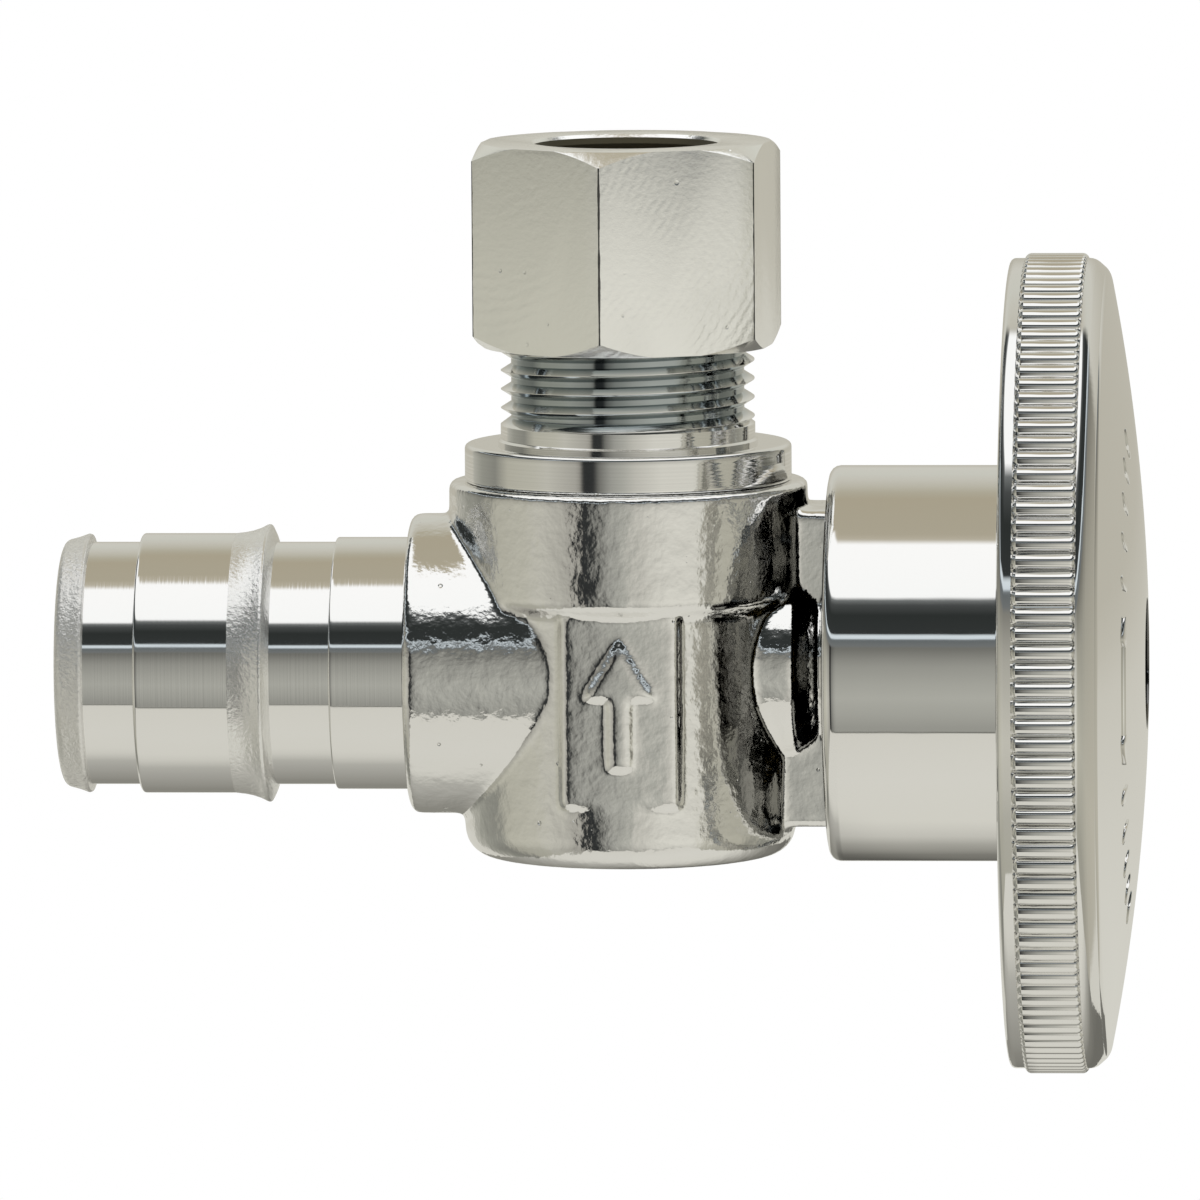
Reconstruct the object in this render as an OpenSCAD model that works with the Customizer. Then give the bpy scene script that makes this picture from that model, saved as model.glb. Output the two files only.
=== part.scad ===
// Quarter-turn angle stop valve: push-over inlet spigot, forged barrel with
// an L-port ball, compression outlet on top and a round knurled handle.
// Millimetres. Origin at the centre of the inlet shoulder, where the pipe
// stops. +X runs along the inlet and stem towards the handle, +Z is up
// through the outlet.

/* [Inlet spigot] */
// radius of the waterway through the spigot
waterway_r = 5.1; // [3.5:0.1:5.8]
// radius of the two long lands that the pipe grips
land_r = 7.33; // [6.9:0.01:8.4]
// depth of the two grooves below the lands
groove_depth = 0.49; // [0.1:0.01:0.7]
// height of the sharp barb above the land
barb_height = 0.52; // [0.1:0.01:1]
// length of the plain land beside the shoulder
root_land_length = 4.2; // [1:0.1:8]
// length of the inner groove
inner_groove_length = 3.4; // [1:0.1:6]
// length of the flared barb
barb_length = 2.5; // [1:0.1:5]
// length of the main land
main_land_length = 5.1; // [2:0.1:10]
// length of the outer groove
outer_groove_length = 2.75; // [1:0.05:6]
// length of the end flange
end_flange_length = 1.75; // [1:0.05:4]

/* [Body] */
// distance from the inlet shoulder to the barrel axis
barrel_offset = 12.3; // [10:0.1:20]
// radius of the round inlet boss
boss_r = 8.46; // [8.4:0.01:9.2]
// wall of the barrel around the ball cavity
barrel_wall = 2.33; // [1.8:0.01:4]
// how far the upper barrel stands out from the lower
ledge_step = 0.77; // [0.3:0.01:1.5]
// height of the ledge above the inlet axis
ledge_height = 3.75; // [1:0.1:5]
// thickness of the closed bottom under the cavity
floor_thickness = 2.7; // [1.5:0.1:5]
// width of the flat panel on the front of the barrel
panel_width = 6.65; // [3:0.05:9]
// radius of the neck that carries the stem
neck_r = 5.85; // [5.5:0.05:7.5]
// half thickness of the upright stop bar behind the handle
bar_half_width = 3.4; // [2:0.1:5]

/* [Ball and stem] */
// radius of the ball
ball_r = 6.35; // [5.2:0.05:8]
// radius of the port drilled in the ball
port_r = 3.3; // [2.2:0.05:3.5]
// radius of the stem shaft
stem_r = 3; // [2.4:0.05:3.2]
// thickness of the tang that drives the ball
tang_thickness = 2.4; // [1.5:0.1:3]

/* [Outlet] */
// outside radius of the supply tube
tube_r = 4.7625; // [3.9:0.0025:5.8]
// thread crest beyond the tube
thread_wall = 2.38; // [2:0.01:3]
// distance from one thread to the next
thread_pitch = 1.0583; // [0.8:0.0001:1.5]
// height of the flange ring on top of the barrel
flange_height = 2.1; // [1:0.1:4]
// height of the plain collar above the flange
collar_height = 1.2; // [0.5:0.1:3]
// length of the threaded part
thread_length = 8.3; // [6:0.1:10]

/* [Compression nut] */
// height of the nut
nut_height = 11.5; // [11:0.1:14]
// wall between the thread and the flats
nut_wall = 0.7375; // [0.6:0.0025:2]
// threads left showing under the nut, as a length
thread_showing = 4.3; // [3.5:0.1:4.5]
// radius of the tube hole in the top
nut_hole_gap = 0.1; // [0.05:0.01:0.4]

/* [Handle] */
// radius of the wheel at its plain rims
wheel_r = 22.8; // [18:0.1:30]
// height of the grip ribs above the rim
rib_height = 0.3; // [0.1:0.05:0.8]
// number of grip ribs around the wheel
rib_count = 140; // [36:1:180]
// width of the ribbed band
band_width = 3.4; // [2:0.1:5]
// radius of the round skirt behind the wheel
skirt_r = 11.15; // [10.2:0.05:14]
// wall of the skirt
skirt_wall = 1; // [0.8:0.05:1.5]
// gap between the barrel and the skirt
handle_gap = 1.2; // [0.5:0.1:4]
// length of the skirt up to the wheel
skirt_length = 10; // [9:0.1:14]
// thickness of the wheel at its rim
rim_width = 5.7; // [5:0.1:9]
// rise of the domed face above the rim
dome_rise = 2.35; // [1:0.05:4]
// radius of the screw recess in the face
recess_r = 3.7; // [3.5:0.05:5]

/* [Part] */
// which part to draw

/* [Hidden] */
$fn = 96;
eps = 0.01;
over = 1;
// running clearance of turning pieces in their bores
run_gap = 0.06;
// clearance of pieces that are screwed or pressed together
seat_gap = 0.02;
// clearance between the ball and its seats
ball_gap = 0.1;
// spigot
groove_r = land_r - groove_depth;
root_land_r = land_r - 0.22;
barb_r = land_r + barb_height;
end_flange_r = land_r - 0.03;
barb_x0 = -root_land_length - inner_groove_length;
land_x0 = barb_x0 - barb_length;
groove_x0 = land_x0 - main_land_length;
flange_x0 = groove_x0 - outer_groove_length;
tip_x = flange_x0 - end_flange_length;
waterway_end = 1.5;
throat_r = port_r + 0.1;
cone_length = waterway_r - throat_r;
boss_edge = 0.45;
// cavity and barrel
cavity_r = ball_r + 0.65;
barrel_r = cavity_r + barrel_wall;
upper_r = barrel_r + ledge_step;
seat_top = ball_r + 0.55;
seat_bottom = ball_r - 2.95;
plug_length = 3.5;
barrel_top = seat_top + plug_length;
ring_section_r = 0.6;
cavity_floor = seat_top + 2 * ring_section_r + 0.1;
barrel_bottom = cavity_floor + floor_thickness;
bottom_edge = 1.2;
top_edge = 0.5;
ledge_slope = 0.7;
seat_r = cavity_r - seat_gap;
seat_hole_r = port_r + 0.3;
plug_r = cavity_r + 0.95;
// panel and raised flow arrow
panel_top = 3.5;
panel_bottom = 7.1;
panel_proud = 0.07;
arrow_proud = 0.35;
arrow_width = 1.1;
arrow_top = 2.2;
arrow_length = 7.2;
arrow_head = 3.2;
// neck, stem and gland
journal_end = barrel_offset + ball_r + 1.5;
seal_bore_r = stem_r + 1;
seal_length = 4.35;
washer_thickness = 0.4;
seal_x0 = journal_end + washer_thickness + 0.05;
seal_x1 = seal_x0 + seal_length;
groove_width = 1.4;
o_ring_r = 0.52;
o_ring_inner_x = seal_x0 + 0.45 + groove_width / 2;
o_ring_outer_x = seal_x1 - 0.45 - groove_width / 2;
o_ring_centre_r = seal_bore_r - 0.05 - o_ring_r;
stem_groove_r = o_ring_centre_r - o_ring_r - 0.01;
gland_x0 = seal_x1 + washer_thickness + 0.1;
neck_end = gland_x0 + 2.25;
gland_head_height = 2.2;
gland_flats = 9.6;
gland_end = neck_end + gland_head_height;
tang_start = barrel_offset + ball_r - 1.85;
tang_width = 2 * sqrt(pow(stem_r, 2) - pow(tang_thickness / 2, 2)) - 0.5;
stem_shoulder = gland_end + 0.6;
spline_r = stem_r - 0.25;
spline_count = 12;
stem_end = stem_shoulder + 5;
screw_r = 1.5;
screw_hole_r = screw_r + seat_gap;
// handle
skirt_x0 = barrel_offset + upper_r + handle_gap;
skirt_in_r = skirt_r - skirt_wall;
bar_gap = 0.295;
bar_half_height = sqrt(pow(skirt_in_r - bar_gap, 2) - pow(bar_half_width, 2));
bar_end = skirt_x0 + 2.8;
stop_x0 = skirt_x0 + 0.6;
stop_gap = 0.1;
stop_r = neck_r + 2.3;
wheel_x0 = skirt_x0 + skirt_length;
rim_x1 = wheel_x0 + rim_width;
crown_x = rim_x1 + dome_rise;
band_x0 = wheel_x0 + 1.1;
rib_r = wheel_r + rib_height;
dome_r = (pow(wheel_r, 2) + pow(dome_rise, 2)) / (2 * dome_rise);
socket_r = 6.4;
insert_r = 4.6;
insert_wall_gap = 0.02;
insert_x0 = stem_shoulder + 0.05;
insert_x1 = stem_end + 0.5;
web_x1 = insert_x1 + 1.3;
back_wall = 2.2;
back_r0 = skirt_r + 1.4;
back_r1 = wheel_r - 1.9;
back_depth = rim_width - back_wall;
rib_wall = 1.2;
screw_clear_r = screw_r + 0.25;
lock_washer_thickness = 0.7;
lock_washer_r = recess_r - 0.45;
screw_head_r = recess_r - 0.5;
screw_head_height = 1.6;
screw_length = 9;
drive_r = 1.25;
// outlet
thread_r = tube_r + thread_wall;
thread_depth = 0.51;
root_r = thread_r - thread_depth;
flange_r = max(upper_r - 0.9, thread_r + 0.8);
flange_top = barrel_top + flange_height;
thread_z0 = flange_top + collar_height;
thread_turns = floor(thread_length / thread_pitch) - 1;
adapter_top = thread_z0 + thread_length;
adapter_bore_r = port_r + 0.2;
tube_gap = 0.05;
tube_hole_r = tube_r + tube_gap;
socket_floor = flange_top + 2.6;
mouth_r = tube_r + 1.19;
mouth_depth = 1.6;
gland_o_ring_r = 0.6;
plug_groove_z0 = barrel_top - 1.45;
plug_groove_z1 = barrel_top - 0.15;
plug_o_ring_centre_r = plug_r - gland_o_ring_r - 0.02;
// nut and sleeve
nut_bore_r = thread_r + run_gap;
nut_flats = 2 * (nut_bore_r + nut_wall);
nut_hole_r = tube_hole_r + nut_hole_gap;
nut_z0 = thread_z0 + thread_showing;
nut_top = nut_z0 + nut_height;
nut_turned = 24;
nut_face_r = nut_flats / 2 + 0.2;
nut_chamfer = 0.75;
sleeve_r = tube_r + 0.79;
sleeve_end_r = tube_r + 0.24;
sleeve_taper = 1.1;
sleeve_z0 = adapter_top - 1;
sleeve_length = 6.35;
sleeve_z1 = sleeve_z0 + sleeve_length;
cone_z0 = sleeve_z1 - 1.05;
cone_z1 = sleeve_z1 + 0.3;

CHROME = [0.80, 0.79, 0.76];
SATIN = [0.74, 0.74, 0.72];
BRASS = [0.78, 0.62, 0.32];
SEAL = [0.93, 0.93, 0.90];
RUBBER = [0.09, 0.09, 0.09];
STEEL = [0.66, 0.66, 0.67];

// stand a shape drawn up the Z axis along the X axis instead
module along_x(x = 0) {
  translate([x, 0, 0])
    rotate([0, 90, 0])
      children();
}

// flat ring on the stem axis
module ring_x(x0, x1, r_in, r_out) {
  along_x()
    rotate_extrude()
      translate([r_in, x0])
        square([r_out - r_in, x1 - x0]);
}

// flat ring on the barrel axis
module ring_z(z0, z1, r_in, r_out) {
  translate([barrel_offset, 0, 0])
    rotate_extrude()
      translate([r_in, z0])
        square([r_out - r_in, z1 - z0]);
}

// round rubber ring
module o_ring(centre_r, section_r) {
  rotate_extrude()
    translate([centre_r, 0])
      circle(r = section_r, $fn = 32);
}

module spigot() {
  along_x()
    rotate_extrude()
      polygon([
        [0, tip_x],
        [end_flange_r - 0.7, tip_x],
        [end_flange_r - 0.2, tip_x + 0.35],
        [end_flange_r, tip_x + 0.9],
        [end_flange_r, flange_x0],
        [groove_r, flange_x0],
        [groove_r, groove_x0],
        [land_r, groove_x0],
        [land_r, land_x0],
        [barb_r, barb_x0 - 0.2],
        [groove_r, barb_x0],
        [groove_r, -root_land_length],
        [root_land_r, -root_land_length],
        [root_land_r, over],
        [0, over]
      ]);
}

module boss() {
  along_x()
    rotate_extrude()
      polygon([
        [0, 0],
        [boss_r - boss_edge, 0],
        [boss_r - 0.13, 0.13],
        [boss_r, boss_edge],
        [boss_r, barrel_offset],
        [0, barrel_offset]
      ]);
}

module barrel() {
  translate([barrel_offset, 0, 0])
    rotate_extrude()
      polygon([
        [0, -barrel_bottom],
        [barrel_r - bottom_edge, -barrel_bottom],
        [barrel_r - bottom_edge * 0.3, -barrel_bottom + bottom_edge * 0.3],
        [barrel_r, -barrel_bottom + bottom_edge],
        [barrel_r, ledge_height - ledge_slope / 2],
        [upper_r, ledge_height + ledge_slope / 2],
        [upper_r, barrel_top - top_edge],
        [upper_r - top_edge * 0.3, barrel_top - top_edge * 0.3],
        [upper_r - top_edge, barrel_top],
        [0, barrel_top]
      ]);
}

// flat forged panel on the front with a plain raised arrow for the flow
module panel() {
  translate([barrel_offset - panel_width / 2, -barrel_r - panel_proud, -panel_bottom])
    cube([panel_width, barrel_r, panel_bottom + panel_top]);
  translate([barrel_offset, -barrel_r - panel_proud + eps, 0])
    rotate([90, 0, 0])
      linear_extrude(arrow_proud)
        polygon([
          [-arrow_width / 2, arrow_top - arrow_length],
          [arrow_width / 2, arrow_top - arrow_length],
          [arrow_width / 2, arrow_top - arrow_head],
          [arrow_head / 2, arrow_top - arrow_head],
          [0, arrow_top],
          [-arrow_head / 2, arrow_top - arrow_head],
          [-arrow_width / 2, arrow_top - arrow_head]
        ]);
}

module stop_bar() {
  translate([barrel_offset, -bar_half_width, -bar_half_height])
    cube([bar_end - barrel_offset, 2 * bar_half_width, 2 * bar_half_height]);
}

module neck() {
  along_x(barrel_offset)
    cylinder(r = neck_r, h = neck_end - barrel_offset);
}

module body_bores() {
  along_x()
    rotate_extrude()
      polygon([
        [0, tip_x - over],
        [waterway_r, tip_x - over],
        [waterway_r, waterway_end],
        [throat_r, waterway_end + cone_length],
        [throat_r, barrel_offset],
        [0, barrel_offset]
      ]);
  translate([barrel_offset, 0, -cavity_floor])
    cylinder(r = cavity_r, h = cavity_floor + seat_top + eps);
  translate([barrel_offset, 0, seat_top])
    cylinder(r = plug_r, h = plug_length + over);
  along_x(barrel_offset)
    cylinder(r = stem_r + run_gap, h = neck_end - barrel_offset + over);
  along_x(journal_end)
    cylinder(r = seal_bore_r, h = neck_end - journal_end + over);
}

module valve_body() {
  color(CHROME)
    difference() {
      union() {
        spigot();
        boss();
        barrel();
        panel();
        stop_bar();
        neck();
      }
      body_bores();
    }
}

// threaded outlet piece that screws into the top of the barrel
module outlet_adapter() {
  color(CHROME)
    translate([barrel_offset, 0, 0])
      difference() {
        rotate_extrude()
          polygon(concat(
            [
              [0, seat_top + seat_gap],
              [plug_r - seat_gap, seat_top + seat_gap],
              [plug_r - seat_gap, plug_groove_z0],
              [plug_o_ring_centre_r - gland_o_ring_r - 0.02, plug_groove_z0],
              [plug_o_ring_centre_r - gland_o_ring_r - 0.02, plug_groove_z1],
              [plug_r - seat_gap, plug_groove_z1],
              [plug_r - seat_gap, barrel_top],
              [flange_r, barrel_top],
              [flange_r, flange_top - 0.2],
              [flange_r - 0.2, flange_top],
              [thread_r, flange_top],
              [thread_r, thread_z0]
            ],
            [for (i = [0:thread_turns - 1], side = [0, 1])
              [side == 0 ? root_r : thread_r, thread_z0 + (i + 0.5 + side / 2) * thread_pitch]],
            [
              [thread_r, adapter_top - thread_depth],
              [root_r, adapter_top],
              [0, adapter_top]
            ]
          ));
        rotate_extrude()
          polygon([
            [0, seat_top - over],
            [adapter_bore_r, seat_top - over],
            [adapter_bore_r, socket_floor],
            [tube_hole_r, socket_floor],
            [tube_hole_r, adapter_top - mouth_depth],
            [mouth_r, adapter_top],
            [mouth_r, adapter_top + over],
            [0, adapter_top + over]
          ]);
      }
}

module adapter_o_ring() {
  color(RUBBER)
    translate([barrel_offset, 0, (plug_groove_z0 + plug_groove_z1) / 2])
      o_ring(plug_o_ring_centre_r, gland_o_ring_r);
}

// ring seat with a hollow ground to the ball
module ball_seat() {
  difference() {
    rotate_extrude()
      translate([seat_hole_r, seat_bottom])
        square([seat_r - seat_hole_r, seat_top - seat_bottom]);
    sphere(r = ball_r + ball_gap);
  }
}

module upper_seat() {
  color(SEAL)
    translate([barrel_offset, 0, 0])
      ball_seat();
}

module lower_seat() {
  color(SEAL)
    translate([barrel_offset, 0, 0])
      rotate([180, 0, 0])
        ball_seat();
}

module seat_backing_ring() {
  color(RUBBER)
    translate([barrel_offset, 0, -seat_top - ring_section_r - 0.05])
      o_ring(cavity_r - ring_section_r - 0.3, ring_section_r);
}

// ball with a right-angle port and a slot for the stem
module ball() {
  color(BRASS)
    difference() {
      translate([barrel_offset, 0, 0])
        sphere(r = ball_r);
      along_x(barrel_offset - ball_r - over)
        cylinder(r = port_r, h = ball_r + over);
      translate([barrel_offset, 0, -0.4 * port_r])
        cylinder(r = port_r, h = ball_r + over + 0.4 * port_r);
      translate([tang_start - 0.2, -ball_r - over, -tang_thickness / 2 - run_gap])
        cube([ball_r, 2 * ball_r + 2 * over, tang_thickness + 2 * run_gap]);
    }
}

module stem() {
  color(BRASS)
    difference() {
      union() {
        translate([tang_start, -tang_width / 2, -tang_thickness / 2])
          cube([seal_x0 - tang_start, tang_width, tang_thickness]);
        along_x()
          rotate_extrude()
            polygon([
              [0, barrel_offset + ball_r + 0.25],
              [stem_r, barrel_offset + ball_r + 0.25],
              [stem_r, seal_x0],
              [seal_bore_r - run_gap, seal_x0],
              [seal_bore_r - run_gap, o_ring_inner_x - groove_width / 2],
              [stem_groove_r, o_ring_inner_x - groove_width / 2],
              [stem_groove_r, o_ring_inner_x + groove_width / 2],
              [seal_bore_r - run_gap, o_ring_inner_x + groove_width / 2],
              [seal_bore_r - run_gap, o_ring_outer_x - groove_width / 2],
              [stem_groove_r, o_ring_outer_x - groove_width / 2],
              [stem_groove_r, o_ring_outer_x + groove_width / 2],
              [seal_bore_r - run_gap, o_ring_outer_x + groove_width / 2],
              [seal_bore_r - run_gap, seal_x1],
              [stem_r, seal_x1],
              [stem_r, stem_shoulder],
              [0, stem_shoulder]
            ]);
        along_x(stem_shoulder - eps)
          cylinder(r = spline_r, h = stem_end - stem_shoulder + eps, $fn = spline_count);
      }
      along_x(stem_end - screw_length + 2)
        cylinder(r = screw_hole_r, h = screw_length);
    }
}

module thrust_washer() {
  color(SEAL)
    ring_x(journal_end, journal_end + washer_thickness, stem_r + run_gap, seal_bore_r - seat_gap);
}

module stem_o_ring_inner() {
  color(RUBBER)
    along_x(o_ring_inner_x)
      o_ring(o_ring_centre_r, o_ring_r);
}

module stem_o_ring_outer() {
  color(RUBBER)
    along_x(o_ring_outer_x)
      o_ring(o_ring_centre_r, o_ring_r);
}

module gland_washer() {
  color(STEEL)
    ring_x(gland_x0 - washer_thickness, gland_x0, stem_r + run_gap, seal_bore_r - seat_gap);
}

// hollow screw that holds the stem in the neck
module gland_nut() {
  color(BRASS)
    difference() {
      union() {
        along_x(gland_x0)
          cylinder(r = seal_bore_r - seat_gap, h = neck_end - gland_x0 + eps);
        along_x(neck_end)
          cylinder(d = gland_flats / cos(30), h = gland_head_height, $fn = 6);
      }
      along_x(gland_x0 - over)
        cylinder(r = stem_r + run_gap, h = gland_end - gland_x0 + 2 * over);
    }
}

// inner rib of the skirt that meets the stop bar a quarter turn apart
module stop_rib(side) {
  rotate([side * 90 + 90, 0, 0])
    intersection() {
      ring_x(stop_x0, web_x1, stop_r, skirt_r - skirt_wall / 2);
      translate([stop_x0, bar_half_width + stop_gap, bar_half_width + stop_gap])
        cube([web_x1 - stop_x0, skirt_r, skirt_r]);
    }
}

// outside of the wheel and skirt, before it is hollowed
module handle_blank() {
  along_x()
    rotate_extrude()
      polygon([
        [0, skirt_x0],
        [skirt_r - 0.7, skirt_x0],
        [skirt_r - 0.25, skirt_x0 + 0.25],
        [skirt_r, skirt_x0 + 0.8],
        [skirt_r, wheel_x0],
        [wheel_r - 0.6, wheel_x0],
        [wheel_r, wheel_x0 + 0.6],
        [wheel_r, rim_x1 - 0.7],
        [wheel_r - 0.8, rim_x1],
        [wheel_r - 0.8, crown_x],
        [0, crown_x]
      ]);
}

module grip_ribs() {
  along_x(band_x0)
    linear_extrude(band_width)
      polygon([for (i = [0:2 * rib_count - 1])
        (i % 2 == 0 ? rib_r : wheel_r - 0.05) * [cos(i * 180 / rib_count), sin(i * 180 / rib_count)]]);
}

module handle_hollows() {
  ring_x(skirt_x0 - over, insert_x0, 0, skirt_in_r);
  ring_x(insert_x0 - over, web_x1 - 1.3, socket_r, skirt_in_r);
  ring_x(wheel_x0 - over, wheel_x0 + back_depth, back_r0, back_r1);
  ring_x(web_x1, crown_x + over, 0, recess_r);
  ring_x(insert_x1 - over, web_x1 + over, 0, screw_clear_r);
  along_x(insert_x0 - over)
    cylinder(r = insert_r, h = insert_x1 - insert_x0 + over, $fn = 6);
}

module handle() {
  color(CHROME)
    difference() {
      union() {
        difference() {
          intersection() {
            union() {
              handle_blank();
              grip_ribs();
            }
            along_x(crown_x - dome_r)
              sphere(r = dome_r, $fn = 240);
          }
          handle_hollows();
        }
        stop_rib(-1);
        stop_rib(1);
        for (turn = [0:60:300])
          rotate([turn, 0, 0])
            translate([wheel_x0 + 0.8, -rib_wall / 2, back_r0 - 0.5])
              cube([back_depth - 0.5, rib_wall, back_r1 - back_r0 + 1]);
      }
      ring_x(insert_x1 - over, web_x1 + over, 0, screw_clear_r);
    }
}

module handle_insert() {
  color(BRASS)
    difference() {
      along_x(insert_x0)
        cylinder(r = insert_r - insert_wall_gap, h = insert_x1 - insert_x0 - seat_gap, $fn = 6);
      along_x(insert_x0 - over)
        cylinder(r = spline_r + seat_gap, h = insert_x1 - insert_x0 + 2 * over, $fn = spline_count);
    }
}

module lock_washer() {
  color(STEEL)
    ring_x(web_x1 + seat_gap, web_x1 + lock_washer_thickness, screw_clear_r, lock_washer_r);
}

module handle_screw() {
  color(BRASS)
    difference() {
      along_x(web_x1 + lock_washer_thickness + seat_gap)
        rotate_extrude()
          polygon([
            [0, -screw_length + 1],
            [screw_r - 0.3, -screw_length + 1],
            [screw_r, -screw_length + 1.4],
            [screw_r, 0],
            [screw_head_r, 0],
            [screw_head_r, screw_head_height * 0.45],
            [screw_head_r * 0.75, screw_head_height * 0.85],
            [screw_head_r * 0.45, screw_head_height],
            [0, screw_head_height]
          ]);
      for (turn = [0, 90])
        rotate([turn, 0, 0])
          translate([web_x1 + lock_washer_thickness + 0.5, -drive_r * 1.3, -0.3])
            cube([screw_head_height, drive_r * 2.6, 0.6]);
    }
}

module compression_sleeve() {
  color(BRASS)
    translate([barrel_offset, 0, 0])
      rotate_extrude()
        polygon([
          [tube_hole_r, sleeve_z0],
          [sleeve_end_r, sleeve_z0],
          [sleeve_r, sleeve_z0 + sleeve_taper],
          [sleeve_r, sleeve_z1 - sleeve_taper],
          [sleeve_end_r, sleeve_z1],
          [tube_hole_r, sleeve_z1]
        ]);
}

module compression_nut() {
  color(SATIN)
    translate([barrel_offset, 0, 0])
      difference() {
        intersection() {
          translate([0, 0, nut_z0])
            rotate([0, 0, nut_turned])
              cylinder(d = nut_flats / cos(30), h = nut_height, $fn = 6);
          rotate_extrude()
            polygon([
              [0, nut_z0],
              [nut_face_r, nut_z0],
              [nut_face_r + 2, nut_z0 + 2 * nut_chamfer * 0.8],
              [nut_face_r + 2, nut_top - 2 * nut_chamfer * 0.8],
              [nut_face_r, nut_top],
              [0, nut_top]
            ]);
        }
        rotate_extrude()
          polygon([
            [0, nut_z0 - over],
            [nut_bore_r + 0.3, nut_z0 - over],
            [nut_bore_r + 0.3, nut_z0],
            [nut_bore_r, nut_z0 + 0.5],
            [nut_bore_r, cone_z0],
            [sleeve_r + 0.7, cone_z0],
            [nut_hole_r, cone_z1],
            [nut_hole_r, nut_top - 0.5],
            [nut_hole_r + 0.5, nut_top],
            [nut_hole_r + 0.5, nut_top + over],
            [0, nut_top + over]
          ]);
      }
}

valve_body();
outlet_adapter();
adapter_o_ring();
upper_seat();
lower_seat();
seat_backing_ring();
ball();
stem();
thrust_washer();
stem_o_ring_inner();
stem_o_ring_outer();
gland_washer();
gland_nut();
handle();
handle_insert();
lock_washer();
handle_screw();
compression_sleeve();
compression_nut();
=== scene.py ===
# %% [markdown]
# # Quarter-turn angle stop valve
# A small plumbing valve: a forged, chrome-plated body with a spigot for the
# pipe on the left, an outlet with a compression nut on top, and a round
# knurled handle on the right. The exact solids come from the frame. This file
# rebuilds the visible ones with rounded edges, real threads and real surfaces.

# %% Frame
import math

import bmesh
import bpy
from mathutils import Matrix, Vector


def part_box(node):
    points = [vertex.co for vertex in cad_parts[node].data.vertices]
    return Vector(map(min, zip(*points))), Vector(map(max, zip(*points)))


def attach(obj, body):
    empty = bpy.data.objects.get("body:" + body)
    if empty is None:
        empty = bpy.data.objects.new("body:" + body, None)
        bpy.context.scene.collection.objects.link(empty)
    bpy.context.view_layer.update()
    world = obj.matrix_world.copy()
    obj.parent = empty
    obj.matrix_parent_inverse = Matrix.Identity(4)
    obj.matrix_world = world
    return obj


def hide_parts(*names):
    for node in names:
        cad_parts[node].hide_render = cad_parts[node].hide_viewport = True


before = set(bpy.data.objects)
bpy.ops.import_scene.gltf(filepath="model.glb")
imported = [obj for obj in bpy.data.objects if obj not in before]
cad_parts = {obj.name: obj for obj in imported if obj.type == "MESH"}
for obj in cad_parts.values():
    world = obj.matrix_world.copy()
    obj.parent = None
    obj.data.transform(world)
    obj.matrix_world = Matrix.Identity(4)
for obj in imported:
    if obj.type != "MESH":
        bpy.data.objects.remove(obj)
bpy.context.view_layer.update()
MM = 0.001

# %% [markdown]
# Every size starts from a box of the frame, so the looks and the solids share
# one set of places. A small helper turns a node's box into millimetres.

# %% Places


def box_mm(node):
    """The lowest and the highest corner of a node, in millimetres."""
    low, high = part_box(node)
    return low / MM, high / MM


body_low, body_high = box_mm("valve_body")
ring_low, ring_high = box_mm("outlet_adapter")
nut_low, nut_high = box_mm("compression_nut")
wheel_low, wheel_high = box_mm("handle")
barrel_x = (nut_low.x + nut_high.x) / 2
print("barrel axis at x =", round(barrel_x, 3), "mm")

# %% [markdown]
# Most pieces of a valve are turned on a lathe, so most meshes here are too: a
# few points make the outline, and a full spin makes the solid. Corners are
# rounded afterwards with a bevel on the rings of edges that the corner left,
# because a real corner always has a small radius and catches light on it.

# %% Lathe helper


def spin_axis(axis):
    """The axis as a vector, and what puts a (radius, along) point beside it."""
    if axis == "x":
        return Vector((1, 0, 0)), lambda r, t: Vector((t, 0, r))
    return Vector((0, 0, 1)), lambda r, t: Vector((r, 0, t))


def supported(outline, rounds):
    """Add a point beside each corner, so that long faces stay flat in reflections."""
    full = []
    for i, point in enumerate(outline):
        nxt = (i + 1) % len(outline)
        a, b = Vector(point), Vector(outline[nxt])
        full.append(point)
        length = (b - a).length
        near, away = rounds.get(i, 0) * 1.3 + 0.08, rounds.get(nxt, 0) * 1.3 + 0.08
        if length > near + away + 0.3 and max(a.x, b.x) > 1e-6:
            full.append(tuple(a + (b - a) * near / length))
            full.append(tuple(b + (a - b) * away / length))
    return full


def lathe(outline, axis="x", centre=(0, 0, 0), rounds=None, segments=128):
    """A closed solid from a closed outline of (radius, along) points in mm."""
    direction, place = spin_axis(axis)
    middle = Vector(centre) * MM
    bm = bmesh.new()
    full = supported(outline, rounds or {})
    points = [middle + place(r, t) * MM for r, t in full]
    verts = [bm.verts.new(p) for p in points]
    edges = []
    for i, v in enumerate(verts):
        a, b = full[i], full[(i + 1) % len(verts)]
        if a[0] < 1e-6 and b[0] < 1e-6:
            continue
        edges.append(bm.edges.new((v, verts[(i + 1) % len(verts)])))
    bmesh.ops.spin(bm, geom=verts + edges, cent=middle, axis=direction,
                   angle=2 * math.pi, steps=segments, use_merge=True)
    bmesh.ops.remove_doubles(bm, verts=bm.verts, dist=1e-7)
    bmesh.ops.recalc_face_normals(bm, faces=bm.faces)
    for index, width in (rounds or {}).items():
        round_ring(bm, outline[index], width, direction, middle)
    return bm


def round_edges(bm, edges, width, steps=3):
    """Bevel edges. The operator's defaults differ from the editor's, so all are given."""
    bmesh.ops.bevel(bm, geom=edges, offset=width * MM, offset_type="OFFSET", segments=steps,
                    profile=0.5, affect="EDGES", clamp_overlap=True, material=-1)


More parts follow.
